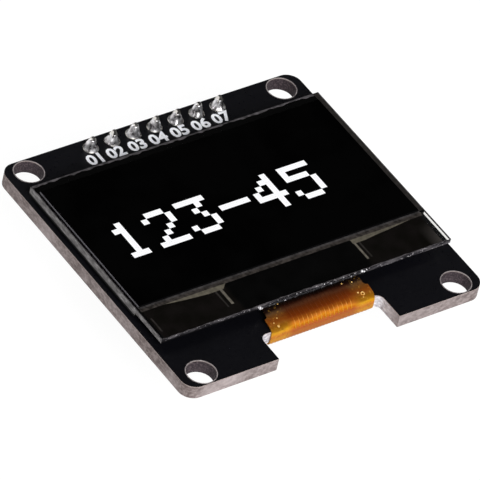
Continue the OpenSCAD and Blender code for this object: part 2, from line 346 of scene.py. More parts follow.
def new_tree(name, **sizes):
    """An empty Geometry Nodes tree with named inputs for its sizes and its material, and the
    outputs of its Group Input."""
    tree = bpy.data.node_groups.new(name, "GeometryNodeTree")
    kinds = {"Geometry": "NodeSocketGeometry"}
    for label, value in sizes.items():
        kinds[label] = "NodeSocketInt" if isinstance(value, int) else "NodeSocketFloat"
    kinds["Material"] = "NodeSocketMaterial"
    for label, kind in kinds.items():
        socket = tree.interface.new_socket(label.replace("_", " "), in_out="INPUT",
                                           socket_type=kind)
        if label in sizes:
            socket.default_value = sizes[label]
    tree.interface.new_socket("Geometry", in_out="OUTPUT", socket_type="NodeSocketGeometry")
    return tree, add(tree, "NodeGroupInput").outputs


def end_tree(tree, group, instances):
    """Ends a tree in real geometry with the chosen material."""
    real = add(tree, "GeometryNodeRealizeInstances", [instances])
    painted = add(tree, "GeometryNodeSetMaterial", {"Geometry": real,
                                                    "Material": group["Material"]})
    add(tree, "NodeGroupOutput", [painted])
    return tree


def plant(tree, group, shape):
    """Ends a tree with a shape on every point, turned as the point says."""
    turn = add(tree, "GeometryNodeInputNamedAttribute", {"Name": "turn"}, data_type="FLOAT")
    return end_tree(tree, group, add(tree, "GeometryNodeInstanceOnPoints", {
        "Points": group["Geometry"], "Instance": shape,
        "Rotation": add(tree, COMBINE, {"Z": turn})}))


def swept(tree, curve, sides, across, up, caps=True):
    """A flat oval swept along a curve."""
    profile = add(tree, "GeometryNodeCurvePrimitiveCircle", {"Resolution": sides, "Radius": 0.5})
    size = add(tree, COMBINE, {"X": across, "Y": up, "Z": 1.0})
    flat = add(tree, "GeometryNodeTransform", {"Geometry": profile, "Scale": size})
    return add(tree, "GeometryNodeCurveToMesh", {"Curve": curve, "Profile Curve": flat,
                                                 "Fill Caps": caps})


def grow(piece, tree, material, smooth=False):
    """Runs a tree on an object and keeps the result as its plain mesh."""
    modifier = piece.modifiers.new("Pattern", "NODES")
    modifier.node_group = tree
    for item in tree.interface.items_tree:
        if item.in_out == "INPUT" and item.socket_type == "NodeSocketMaterial":
            modifier[item.identifier] = material
        elif item.in_out == "INPUT" and item.socket_type != "NodeSocketGeometry":
            modifier[item.identifier] = item.default_value
    graph = bpy.context.evaluated_depsgraph_get()
    mesh = bpy.data.meshes.new_from_object(piece.evaluated_get(graph))
    piece.modifiers.clear()
    piece.data = mesh
    mesh.name = piece.name
    mesh.polygons.foreach_set("use_smooth", [smooth] * len(mesh.polygons))
    return piece


def line_tree(width, height):
    """A tree that sweeps a flat oval along every line of its object."""
    tree, group = new_tree("line_sweep", Width=width, Height=height)
    curve = add(tree, "GeometryNodeMeshToCurve", [group["Geometry"]])
    return end_tree(tree, group, swept(tree, curve, 6, group["Width"], group["Height"]))


def block_tree(name, size, shift=(0.0, 0.0, 0.0)):
    """A tree that puts a block on every point."""
    labels = ("Length", "Width", "Height", "Shift_X", "Shift_Y", "Shift_Z")
    tree, group = new_tree(name, **dict(zip(labels, (*size, *shift))))
    extent = add(tree, COMBINE, [group[label] for label in labels[:3]])
    offset = add(tree, COMBINE, [group[f"Shift {axis}"] for axis in "XYZ"])
    block = add(tree, "GeometryNodeMeshCube", {"Size": extent})
    return plant(tree, group, add(tree, "GeometryNodeTransform", {"Geometry": block,
                                                                  "Translation": offset}))


def ring_tree(name, inner, outer, height, steps=40):
    """A tree that puts a flat ring with a rounded crown on every point."""
    tree, group = new_tree(name, Radius=(inner + outer) / 2, Width=outer - inner,
                           Height=height, Steps=steps)
    circle = add(tree, "GeometryNodeCurvePrimitiveCircle", {"Resolution": group["Steps"],
                                                            "Radius": group["Radius"]})
    return plant(tree, group, swept(tree, circle, 8, group["Width"], group["Height"], False))


def fillet_tree(name, start, width, height, reach):
    """A tree that puts a concave fillet of solder beside every point."""
    tree, group = new_tree(name, Start=start, Width=width, Height=height, Reach=reach)
    arc = add(tree, "GeometryNodeCurveArc", {
        "Resolution": 7, "Radius": 1.0, "Start Angle": math.pi, "Sweep Angle": math.pi / 2},
        mode="RADIUS")
    foot, wall = (add(tree, "GeometryNodeCurvePrimitiveLine", {"Start": one, "End": two})
                  for one, two in (((0, -1, 0), (-1, -1, 0)), ((-1, -1, 0), (-1, 0, 0))))
    loose = add(tree, "GeometryNodeJoinGeometry")
    for part in (wall, foot, arc):
        tree.links.new(part.outputs[0], loose.inputs[0])
    mesh = add(tree, "GeometryNodeCurveToMesh", [loose])
    merged = add(tree, "GeometryNodeMergeByDistance", {0: mesh, "Distance": 0.001})
    outline = add(tree, "GeometryNodeMeshToCurve", [merged])
    filled = add(tree, "GeometryNodeFillCurve", [outline], mode="NGONS")
    thick = add(tree, "GeometryNodeExtrudeMesh", {
        "Mesh": filled, "Offset": (0, 0, 1), "Offset Scale": 1, "Individual": False})
    under = add(tree, "GeometryNodeFlipFaces", [filled])
    closed = add(tree, "GeometryNodeJoinGeometry")
    for part in (thick, under):
        tree.links.new(part.outputs[0], closed.inputs[0])
    size = add(tree, COMBINE, [group["Reach"], group["Height"], group["Width"]])
    shift = add(tree, COMBINE, [group["Start"]])
    shape = closed
    for move in ({"Translation": (1, 1, -0.5)}, {"Scale": size},
                 {"Translation": shift, "Rotation": (-math.pi / 2, 0, 0)}):
        shape = add(tree, "GeometryNodeTransform", {"Geometry": shape, **move})
    return plant(tree, group, shape)


# ---- finishes

# Plain finishes: the two close shades of their grain, its size in millimetres, the roughness,
# and where they differ from the usual, the relief's depth in millimetres and shader's numbers
METAL = {"Metallic": 1.0}
FAINT = {"Specular_IOR_Level": 0.1}
PLAIN_FINISHES = {
    # Glass cloth and resin laid bare by the drill: a dull greige ring
    "bare_laminate_ring": ("#6f6768", "#a39b9b", 0.2, 0.55),
    # Tin levelled with hot air: bright and a little wavy
    "hot_air_tin": ("#b9b6b0", "#dedbd6", 0.3, 0.3, 0.01, METAL),
    # Screen-printed ink: chalky white with a cool cast
    "white_epoxy_ink": ("#eceef6", "#fcfdff", 0.12, 0.6),
    # Mask lying over copper: a little paler than the mask on bare laminate
    "mask_over_copper": ("#1c1c22", "#2a2a32", 2.0, 0.3, 0.01,
                         {"IOR": 1.5, "Specular_IOR_Level": 0.35}),
    # Foam tape: dull black with open cells along its cut edge
    "acrylic_foam_tape": ("#0c0c0d", "#1c1c1e", 0.3, 0.85, 0.06),
    # Polished silicon: near black and almost even
    "polished_silicon": ("#040405", "#08080a", 2.0, 0.4, 0.01, FAINT),
    # What shows through the ledge: glass frit, a painted highlight along the film's edge and
    # three dull metals
    "epoxy_frit_seal": ("#1d1a18", "#403b38", 0.22, 0.6, 0.01, FAINT),
    "painted_film_edge_highlight": ("#2e2c2c", "#4a4747", 0.22, 0.6, 0.01, FAINT),
    "metal_fan_out": ("#4d4940", "#625d51", 0.22, 0.6, 0.01, FAINT),
    "sputtered_metal": ("#524e46", "#68635a", 0.22, 0.6, 0.01, FAINT),
    "alignment_metal": ("#1e1c1a", "#2b2826", 0.22, 0.6, 0.01, FAINT),
    # Painted highlight along the glass's upper arris: a grey line, broken along its length
    "painted_edge_highlight": ("#2c2a2b", "#565255", 0.3, 0.5),
    # Drops of resin painted pale: small pale sparkles that are painted glints
    "painted_glint_resin": ("#8f8c90", "#f2f1f4", 0.1, 0.3, 0.02),
    # Solder pressed on with a hot bar: bright, uneven silver
    "bright_solder": ("#a8a49e", "#e2dfda", 0.3, 0.28, 0.03, METAL),
    # Copper under amber film: a warm, paler brown than the film by itself
    "copper_under_cover_film": ("#b06c20", "#cf8c38", 0.6, 0.35),
    # Gold-plated marks under the film, some of them painted glints: small yellow glints
    "gold_marks_and_painted_glints": ("#c8862a", "#ffd88a", 0.1, 0.5),
    # Moulded nylon with glass fibre: satin black with a fine grain
    "glass_filled_nylon": ("#0e0e11", "#1a1a1f", 0.2, 0.5, 0.02),
    # Wave solder with silver: bright and rippled as it cooled
    "tin_silver_solder": ("#a09c9e", "#fbfafc", 0.3, 0.3, 0.06, METAL),
    # Fired barium titanate: matt tan
    "fired_capacitor_ceramic": ("#8a6a48", "#a5845e", 0.2, 0.5),
    # Glass glaze over a printed resistor: smooth black
    "glazed_resistor_film": ("#0f0f12", "#1b1b20", 0.2, 0.3),
    # Epoxy moulded on a spark-eroded tool: dull black with a fine tooth
    "epoxy_moulding_compound": ("#101012", "#1e1e21", 0.12, 0.6, 0.03),
    # Electroplated matt tin: even, soft grey
    "matt_tin_plate": ("#a9a7a2", "#d2d0cb", 0.3, 0.36, 0.01, METAL),
}


def plain_material(name, ink=None):
    """A plain finish from the table, or the same with its paler shade changed to an ink's."""
    dark, pale, *rest = PLAIN_FINISHES[name]
    return grained_material(name, dark, ink or pale, *rest)


def grained_material(name, dark, pale, size, roughness, depth=0.01, sockets=None):
    """A surface with a fine grain of two close shades. A metal's grain is softer, and its gloss
    varies more."""
    material, tree, place, at = new_material(name)
    detail, below, above = (3, 0.08, 0.1) if sockets is METAL else (4, 0.06, 0.06)
    cells = grain(tree, place, size, detail)
    return finished(
        material, (cells, depth, 0.5), (cells, roughness - below, roughness + above),
        Base_Color=add(tree, RAMP, [cells], ((0.35, dark), (0.65, pale))), **(sockets or {}))


def board_material(mask_colour):
    """Black epoxy solder mask over a routed glass-epoxy laminate: satin black faces with a faint
    blue cast, chalky greige edges mottled by the cut glass cloth, a painted highlight of glare on
    the notch's walls and a paler painted highlight along the edges' top arris, and drilled holes
    that are darker than the routed edge."""
    material, tree, place, (x, y, z) = new_material("solder_mask_on_laminate")
    cloth = grain(tree, place, 0.16, 5, (1.4, 1.4, 0.9))
    fleck = grain(tree, place, 0.09, 2)
    drift = grain(tree, place, 4)
    level = facing(tree, place, "Z")

    # Painted highlight of glare on the notch's walls: on the near half, close to the middle line,
    # and more so further in
    ahead = add(tree, RANGE, [y, 0, -0.1 * MM, 0, 0.8])
    deeper = add(tree, RANGE, [y, -16.6 * MM, -13.7 * MM, 0, ahead])
    notch = add(tree, RANGE, [sideways(tree, x, 0), 7.8 * MM, 7.3 * MM, 0, deeper])

    # The four holes, folded onto one
    away = add(tree, VECTOR, [place.outputs["Object"]], operation="ABSOLUTE")
    away = add(tree, VECTOR, [away, (1, 1, 0)], operation="MULTIPLY")
    away = add(tree, VECTOR, [away, (HOLE_X, HOLE_Y, 0)], operation="DISTANCE")
    hole = add(tree, MATH, [away, HOLE_RADIUS * 1.04], operation="LESS_THAN")

    surface = layered(
        tree, add(tree, RAMP, [cloth], ((0.36, "#665a58"), (0.5, "#7e7270"), (0.64, "#968a88"))),
        (add(tree, RAMP, [fleck], ((0.52, 0), (0.72, 0.5))), "#5a4d4b"),
        (add(tree, RAMP, [grain(tree, place, 2.8, 2)], ((0.45, 0), (0.66, 0.5))), "#c4b8b8"),
        # Painted highlight: glare on the notch's walls
        (notch, add(tree, RAMP, [cloth],
                    ((0.36, "#a8a4aa"), (0.52, "#d6d4da"), (0.64, "#f2f1f4")))),
        (hole, add(tree, RAMP, [fleck],
                   ((0.35, "#292125"), (0.55, "#3e3439"), (0.7, "#574c4f")))),
        # Painted highlight: a paler band along the top arris of the cut edges
        (add(tree, RANGE, [z, 1.41 * MM, 1.46 * MM]), "#a0938f"),
        (level, layered(tree, tuple(0.55 * c for c in mask_colour),
                        (drift, tuple(1.5 * c for c in mask_colour)))))
    gloss = add(tree, RAMP, [grain(tree, place, 0.2, 2)], ((0.3, 0.27), (0.7, 0.36)))
    return finished(
        material, (add(tree, MIX, {0: level, 2: cloth, 3: drift}), 0.04, 0.35),
        Base_Color=surface, Roughness=add(tree, MIX, {0: level, 2: 0.75, 3: gloss}),
        IOR=1.5, Specular_IOR_Level=0.3)


def glass_material():
    """Soda-lime display glass: clear and black through its faces, grey and dull where it was
    scribed and snapped along its edges, with bright chips and a darker foot in front: the front
    is painted lit above a foot in painted shade, and lit all the way down towards the right as a
    painted highlight."""
    material, tree, place, (x, y, z) = new_material("soda_lime_glass")
    level = facing(tree, place, "Z")
    side = add(tree, RAMP, [grain(tree, place, 0.18, 5, (2, 2, 1))],
               ((0.35, "#565454"), (0.55, "#787575"), (0.72, "#9c9a9a")))
    front = add(tree, RAMP, [grain(tree, place, 1.1, 3, (1, 1, 0.3))],
                ((0.36, "#161517"), (0.48, "#302e32"), (0.6, "#5c595c")))
    chips = add(tree, RAMP, [grain(tree, place, 0.11, 2)], ((0.6, 0), (0.68, 0.8)))
    # Painted light on the front edge: lit above a foot left in painted shade, and lit all the way
    # down towards the right as a painted highlight. The chips show only where it is lit
    foot = GLASS_LOW.z
    rise = add(tree, RANGE, [z, foot + 0.12 * MM, foot + 0.3 * MM])
    right = add(tree, RANGE, [x, 6.5 * MM, 8.5 * MM])
    lit = add(tree, MATH, [rise, right], operation="MAXIMUM")
    return finished(
        material,
        Base_Color=layered(tree, "#100f11", (lit, layered(tree, front, (chips, "#c4c0c4"))),
                           (facing(tree, place, "X"), side), (level, "#f4f3f0")),
        Transmission_Weight=add(tree, MIX, {0: level, 2: 0.08, 3: 1.0}),
        Roughness=add(tree, MIX, {0: level, 2: 0.42, 3: 0.02}),
        IOR=1.52, Specular_IOR_Level=0.06)


def ledge_material():
    """What lies under the clear ledge: deep black over the driver chip, a brownish black beside
    it, and a grey haze of painted light towards the outer right corner."""
    material, tree, place, (x, y, z) = new_material("smoked_ledge_print")
    cloud = grain(tree, place, 0.8)
    outer = add(tree, RAMP, [cloud], ((0.35, "#080705"), (0.65, "#0e0b0a")))
    beside = add(tree, RANGE, [sideways(tree, x, 0.2), 7.4 * MM, 7.8 * MM])
    # Painted light: a grey haze towards the outer right corner
    low = add(tree, RANGE, [y, -7.8 * MM, -10.6 * MM])
    painted_corner_light = add(tree, RANGE, [x, 14.8 * MM, 16.3 * MM, 0, low])
    return finished(
        material, (), (cloud, 0.35, 0.5), IOR=1.5, Specular_IOR_Level=0.06,
        Base_Color=layered(tree, "#020202", (beside, outer), (painted_corner_light, "#383533")))


def cap_material():
    """Etched rear cover glass with a black getter film inside: near black in front, with dull
    scribed edges that are black below and read as a grey band under the front glass."""
    material, tree, place, (x, y, z) = new_material("etched_cover_glass")
    level = facing(tree, place, "Z")
    chips = grain(tree, place, 0.3, 4, (2, 2, 1))
    side = add(tree, RAMP, [chips], ((0.35, "#555353"), (0.55, "#7a7777"), (0.72, "#a09e9e")))
    front = add(tree, RAMP, [chips], ((0.35, "#2b2822"), (0.55, "#403c34"), (0.72, "#5c584e")))
    upper = add(tree, RANGE, [z, 2.06 * MM, 2.16 * MM])
    edge = layered(tree, front, (facing(tree, place, "X"), side))
    return finished(
        material, Base_Color=layered(tree, "#0a0a0b", (upper, edge), (level, "#050506")),
        Roughness=add(tree, MIX, {0: level, 2: 0.5, 3: 0.2}), IOR=1.52, Specular_IOR_Level=0.1)


def film_material():
    """Polarizer film with an anti-reflection coat: the deepest black of the part, with a very
    faint unevenness from its lamination and a paler cut edge."""
    material, tree, place, at = new_material("coated_polarizer_film")
    wave = grain(tree, place, 3, 2)
    face = add(tree, RAMP, [wave], ((0.4, "#010101"), (0.6, "#030303")))
    return finished(
        material, (wave, 0.01, 0.1), (wave, 0.12, 0.17), IOR=1.45, Specular_IOR_Level=0.06,
        Base_Color=layered(tree, "#0b0b0c", (facing(tree, place, "X"), "#77757a"),
                           (facing(tree, place, "Z"), face)))


def pin_material():
    """Brass pin with a gold flash, dip-soldered at its short end: warm yellow below the board
    and silvery above it."""
    material, tree, place, at = new_material("gold_flashed_brass")
    drawn = grain(tree, place, 0.2, 3, (1, 1, 8))
    gold = add(tree, RAMP, [drawn], ((0.35, "#c9a454"), (0.65, "#ecd08a")))
    tinned = add(tree, MATH, [at["Z"], 0.2 * MM], operation="GREATER_THAN")
    return finished(material, (drawn, 0.006, 0.4), (drawn, 0.2, 0.34), Metallic=1.0,
                    Base_Color=layered(tree, gold, (tinned, "#d8d5d0")))


# Colours of the ribbon's front, each with its distance from the glass edge in millimetres. Over
# the film's own amber they hold painted light: painted shade up the slope that faces up, and a
# painted highlight where it turns over the board's edge
RIBBON_MIDDLE = (
    (0.0, "#060302"), (0.3, "#100401"), (0.45, "#220a03"), (0.6, "#361b0f"), (0.8, "#492816"),
    (1.1, "#4d2108"), (1.5, "#5b2504"), (1.8, "#672a06"), (2.05, "#7b3d0d"), (2.25, "#834309"),
    (2.4, "#a25d18"), (2.5, "#b66c1d"), (2.6, "#be7710"), (2.75, "#b36802"), (3.0, "#ac5801"),
    (3.3, "#a04b02"), (3.6, "#a05812"))
RIBBON_SIDE = (
    (0.0, "#060302"), (0.3, "#0e0606"), (0.45, "#1b0c06"), (0.6, "#362417"), (0.8, "#553a22"),
    (1.1, "#603a16"), (1.5, "#6c380e"), (1.8, "#773c0c"), (2.05, "#834d17"), (2.25, "#794909"),
    (2.5, "#8a5a04"), (2.6, "#9e6a05"), (2.75, "#c08a13"), (3.0, "#c88606"), (3.3, "#b86a01"),
    (3.6, "#b77911"))
TRACE_COLOURS = (
    (0.0, "#060302"), (0.4, "#1a0b05"), (0.8, "#4c2817"), (1.2, "#5a2a10"), (1.8, "#70330f"),
    (2.05, "#8a4412"), (2.25, "#a6621b"), (2.4, "#cf8838"), (2.5, "#de9842"), (2.6, "#d79338"),
    (2.75, "#d0942c"), (3.0, "#b87c04"), (3.6, "#a05c0a"))


def along_ribbon(tree, y, z):
    """Distance in metres from the glass edge along the front of the ribbon."""
    out = add(tree, MATH, [GLASS_LOW.y, y], operation="SUBTRACT")
    drop = add(tree, MATH, [BOARD_HIGH.z, z], operation="SUBTRACT")
    drop = add(tree, MATH, [drop, 0], operation="MAXIMUM")
    return add(tree, MATH, [out, drop], operation="ADD")


def ribbon_colours(tree, way, codes):
    """The colours along the ribbon at a distance in metres."""
    span = codes[-1][0]
    part = add(tree, MATH, [way, 1 / (span * MM)], operation="MULTIPLY")
    return add(tree, RAMP, [part], [(at / span, code) for at, code in codes])


def ribbon_material():
    """Amber polyimide film over copper foil: black under the glass, red-brown on the slope and
    darker there with painted shade, bright orange with a painted highlight where it turns over
    the board's edge, more golden where no copper lies under it at its sides, with pale flecks
    there painted in as glints."""
    material, tree, place, (x, y, z) = new_material("amber_polyimide_film")
    cloud = grain(tree, place, 0.5, 4, (1.8, 1, 1))
    drift = add(tree, MATH, [cloud, 0.6 * MM, -0.3 * MM], operation="MULTIPLY_ADD")
    way = add(tree, MATH, [along_ribbon(tree, y, z), drift], operation="ADD")
    fleck = grain(tree, place, 0.13)
    side = layered(tree, ribbon_colours(tree, way, RIBBON_SIDE),
                   # Pale flecks painted in as glints, dark flecks from the film's own unevenness
                   (add(tree, RAMP, [fleck], ((0.58, 0), (0.72, 0.3))), "#d09a3c"),
                   (add(tree, RAMP, [fleck], ((0.28, 0.4), (0.42, 0))), "#2a1606"))
    bare = add(tree, RANGE, [sideways(tree, x, 0.4), 3.6 * MM, 4.4 * MM])
    rear = add(tree, MATH, [z, -0.08 * MM], operation="LESS_THAN")
    back = add(tree, RAMP, [cloud], ((0.35, "#9a5a10"), (0.65, "#b8771c")))
    return finished(
        material, (cloud, 0.02, 0.4), (cloud, 0.3, 0.42), IOR=1.6, Specular_IOR_Level=0.12,
        Base_Color=layered(tree, ribbon_colours(tree, way, RIBBON_MIDDLE), (bare, side),
                           (rear, back)))


def trace_material():
    """Copper traces seen through the amber cover film: copper streaks, brightest on the bend as a
    painted highlight, that sink into the film's own brown towards the glass and the fold."""
    material, tree, place, (x, y, z) = new_material("covered_copper_traces")
    return finished(
        material, (), (grain(tree, place, 0.6, 2), 0.3, 0.42), IOR=1.6, Specular_IOR_Level=0.12,
        Base_Color=ribbon_colours(tree, along_ribbon(tree, y, z), TRACE_COLOURS))


def light_material(strength):
    """An emitting dot of the display: even, slightly cool white light."""
    material, tree, place, at = new_material("lit_pixel")
    glow = add(tree, RAMP, [grain(tree, place, 0.1, 1)], ((0.3, "#fbfcff"), (0.7, "#ffffff")))
    return finished(material, Emission_Color=glow, Base_Color="#1a1a1c",
                    Emission_Strength=strength, Roughness=0.4)


def resin_material():
    """Cured sealing resin along the glass edge: dark, wet-looking and lumpy, so that it breaks
    the light into small sparkles, with pale spots painted in as sparkles too."""
    material, tree, place, at = new_material("sealing_resin")
    lumps = grain(tree, place, 0.25)
    # Pale spots painted in as sparkles
    dark_with_painted_sparkles = add(tree, RAMP, [lumps], ((0.4, "#0d0d0f"), (0.6, "#333236"), (0.7, "#c0bec2")))
    return finished(material, (lumps, 0.06, 0.8), (lumps, 0.1, 0.3), Base_Color=dark_with_painted_sparkles, IOR=1.5)


def floor_material():
    """Matt white paper that lights the background evenly and keeps a soft shadow. It is clear
    from below."""
    material, tree, place, at = new_material("white_backdrop_paper")
    path = add(tree, "ShaderNodeLightPath").outputs
    shown = path["Is Camera Ray"]
    for ray in ("Is Glossy Ray", "Is Transmission Ray"):
        shown = add(tree, MATH, [shown, path[ray]], operation="MAXIMUM")
    shadow = add(tree, "ShaderNodeBsdfDiffuse", {"Color": 0.1})
    glow = add(tree, "ShaderNodeEmission", {"Color": 1.0, "Strength": 0.95})
    face = add(tree, "ShaderNodeMixShader", [
        shown, add(tree, "ShaderNodeBsdfDiffuse", {"Color": 0.8}),
        add(tree, "ShaderNodeAddShader", [shadow, glow])])
    under = add(tree, "ShaderNodeNewGeometry").outputs["Backfacing"]
    below = add(tree, MATH, [under, path["Is Camera Ray"]], operation="MULTIPLY")
    add(tree, "ShaderNodeOutputMaterial", [
        add(tree, "ShaderNodeMixShader", [below, face, add(tree, "ShaderNodeBsdfTransparent")])])
    return material


# ---- stage

def make_floor(radius, rise):
    """A level round floor that sweeps up at its rim."""
    level, sides, flat_rings, swept_rings = cad_box[0].z - 0.02 * MM, 96, 8, 4
    shape, rings = bmesh.new(), []
    for k in range(flat_rings + swept_rings + 1):
        turn = math.pi / 2 * max(0, k - flat_rings) / swept_rings
        reach = max(radius * min(k, flat_rings) / flat_rings, MM) + rise * math.sin(turn)
        height = level + rise * (1 - math.cos(turn))
        rings.append([(reach * math.cos(a), reach * math.sin(a), height)
                      for a in angles(sides)])
    bridge(shape, rings, "FIRST")
    return solid("floor", shape, floor_material(), smooth=True, outward=False)


def make_world(level):
    """A plain grey room, white where the camera looks past the floor."""
    world = bpy.context.scene.world = bpy.data.worlds.new("Room")
    world.use_nodes = True
    tree = world.node_tree
    tree.nodes.clear()
    seen = add(tree, "ShaderNodeLightPath").outputs["Is Camera Ray"]
    room, white = (add(tree, "ShaderNodeBackground", {"Color": 1.0, "Strength": strength})
                   for strength in (level, 1.0))
    add(tree, "ShaderNodeOutputWorld", [add(tree, "ShaderNodeMixShader", [seen, room, white])])


def make_lamp(name, watts, size, azimuth, elevation, distance):
    """A square soft lamp that looks at the part; azimuth is measured from +X."""
    lamp = bpy.data.lights.new(name, "AREA")
    lamp.energy, lamp.size = watts, size
    a, e = math.radians(azimuth), math.radians(elevation)
    away = Vector((math.cos(a) * math.cos(e), math.sin(a) * math.cos(e), math.sin(e)))
    holder = new_object(name, lamp)
    holder.location = away * distance
    holder.rotation_euler = (-away).to_track_quat("-Z", "Y").to_euler()


class DISPLAYMODULE_OT_stage(bpy.types.Operator):
    """Makes the floor, the lamps, the room's light and the camera"""
    bl_idname = "display_module.stage"
    bl_label = "Stage"

    def execute(self, context):
        settings = context.scene.module_stage
        make_floor(settings.floor_radius, settings.floor_rise)
        make_world(settings.surround)
        # Each lamp's power, its size in metres, and its azimuth and elevation in degrees
        for name, watts, size, azimuth, elevation in (
                ("key_lamp", settings.key_power, 0.5, -107, 38),
                ("fill_lamp", settings.fill_power, 0.5, -170, 30),
                ("rear_lamp", settings.rear_power, 0.4, 108, 44)):
            make_lamp(name, watts, size, azimuth, elevation, settings.lamp_distance)

        # The camera's right, down and forward directions, and the point it looks at
        right = Vector((0.8107, -0.5577, 0.1784))
        down = Vector((-0.2773, -0.6340, -0.7219))
        away = Vector((0.5157, 0.5358, -0.6686))
        target = Vector((-0.554, -0.673, 0.533)) * MM
        camera = bpy.data.cameras.new("camera")
        camera.lens, camera.sensor_width = settings.lens, 36
        camera.clip_start, camera.clip_end = 0.01, 10
        holder = new_object("camera", camera)
        holder.matrix_world = Matrix.Translation(target - away * settings.distance) \
            @ Matrix((right, -down, -away)).transposed().to_4x4()
        context.scene.camera = holder
        context.scene.view_settings.view_transform = "Standard"
        return {"FINISHED"}


# ---- board

def figure_mesh(text, height, bold=0.035, widen=1.08):
    """Plain printed figures as a thin plate, centred on the origin and lying level."""
    curve = bpy.data.curves.new("figures", "FONT")
    curve.body, curve.size, curve.offset = text, 1, bold
    curve.align_x = curve.align_y = "CENTER"
    curve.extrude, curve.resolution_u = 0.004, 3
    holder = new_object("figures", curve)
    graph = bpy.context.evaluated_depsgraph_get()
    mesh = bpy.data.meshes.new_from_object(holder.evaluated_get(graph))
    bpy.data.objects.remove(holder)
    low, high = ([pick(v.co[k] for v in mesh.vertices) for k in (0, 1)] for pick in (min, max))
    size = height / (high[1] - low[1])
    middle = (-(low[0] + high[0]) / 2, -(low[1] + high[1]) / 2, 0)
    mesh.transform(Matrix.Diagonal((size * widen, size, height, 1))
                   @ Matrix.Translation(middle))
    return mesh


class DISPLAYMODULE_OT_board(bpy.types.Operator):
    """Finishes the board: mask, edges, bare rings and pads"""
    bl_idname = "display_module.board"
    bl_label = "Board"

    def execute(self, context):
        settings = context.scene.module_board
        coat(board_material(tuple(settings.mask_colour)), "pcb")
        holes = [Vector((sx * HOLE_X, sy * HOLE_Y)) for sx in (-1, 1) for sy in (-1, 1)]
        rim = (HOLE_RADIUS + PRINT_LIFT, HOLE_RADIUS + settings.hole_ring, 0.03 * MM, 56)
        pad = (0.5 * MM, settings.pad_width / 2, 0.04 * MM)
        for name, centres, tree_name, sizes, finish, smooth, slot in (
                ("hole_rims", holes, "rim_rings", rim, "bare_laminate_ring", False,
                 "solder_mask"),
                ("pin_pads", PINS, "pad_rings", pad, "hot_air_tin", True, "solder")):
            rings = point_cloud(name, [(at.x, at.y, z) for at in centres
                                       for z in (BOARD_HIGH.z, BOARD_LOW.z)])
            keep(grow(rings, ring_tree(tree_name, *sizes), plain_material(finish), smooth), slot)
        return {"FINISHED"}


class DISPLAYMODULE_OT_numbers(bpy.types.Operator):
    """Prints a plain number beside each pin"""
    bl_idname = "display_module.numbers"
    bl_label = "Pin numbers"

    def execute(self, context):
        settings = context.scene.module_board
        shape = bmesh.new()
        for number, pin in enumerate(PINS, 1):
            figures = figure_mesh(f"{number:02d}", settings.number_height)
            figures.transform(Matrix.Translation((pin.x - settings.number_shift,
                                                  pin.y - settings.number_drop,
                                                  BOARD_HIGH.z + PRINT_LIFT)))
            shape.from_mesh(figures)
        ink = plain_material("white_epoxy_ink", tuple(settings.ink_colour))
        keep(solid("pin_numbers", shape, ink, smooth=None, outward=False), "solder_mask")
        return {"FINISHED"}


def back_routes():
    """Routes of the tracks on the board's back, and the vias at their ends."""
    back, tail = BOARD_LOW.z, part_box("ribbon_solder")[1].y
    routes, vias = [], []
    # From the ribbon's joints up to the row of capacitors
    count, pitch, spread = 14, 1.4 * MM, 1.02
    for i in range(count):
        x = (i - (count - 1) / 2) * pitch
        end = (x * spread, tail + (2.2 + 0.3 * (i % 3)) * MM, back)
        routes.append([(x, tail, back), (x, tail + 1.1 * MM, back), end])
        vias += [end] * (i % 2)
    # From the pins down between the parts
    start, sideways_step, reach = 0.9 * MM, 0.9 * MM, 6.6 * MM
    for i, pin in enumerate(PINS):
        drop = (2.2 + 0.8 * (i * 3 % 4)) * MM
        bend = pin.x + sideways_step * (1 if i % 2 else -1)
        routes.append([(pin.x, pin.y - start, back), (pin.x, pin.y - drop, back),
                       (bend, pin.y - drop - sideways_step, back), (bend, pin.y - reach, back)])
        vias.append((bend, pin.y - reach, back))
    return routes, vias


class DISPLAYMODULE_OT_tracks(bpy.types.Operator):
    """Lays the copper tracks and vias that show as ridges under the mask"""
    bl_idname = "display_module.tracks"
    bl_label = "Tracks and vias"

    def execute(self, context):
        settings = context.scene.module_board
        raised = plain_material("mask_over_copper")
        routes, vias = back_routes()
        keep(grow(polylines("mask_tracks", routes), line_tree(settings.track_width, 0.03 * MM),
                  raised), "solder_mask")
        rims = ring_tree("via_rings", 0.15 * MM, settings.via_width / 2, 0.05 * MM, 20)
        keep(grow(point_cloud("vias", vias), rims, raised), "solder_mask")
        return {"FINISHED"}


# ---- panel

# Figures in a cell of five by seven, one number for each row from the top
FIGURES = {
    "0": (14, 17, 19, 21, 25, 17, 14), "1": (4, 12, 4, 4, 4, 4, 14),
    "2": (14, 17, 1, 2, 4, 8, 31), "3": (31, 2, 4, 2, 1, 17, 14),
    "4": (2, 6, 10, 18, 31, 2, 2), "5": (31, 16, 30, 1, 1, 17, 14),
    "6": (6, 8, 16, 30, 17, 17, 14), "7": (31, 1, 2, 4, 8, 8, 8),
    "8": (14, 17, 17, 14, 17, 17, 14), "9": (14, 17, 17, 15, 1, 2, 12),
    "-": (0, 0, 0, 31, 0, 0, 0),
}
COLUMNS = 5


def oblong(left, low, right, high):
    """The corners of a rectangle."""
    return (left, low), (right, low), (right, high), (left, high)


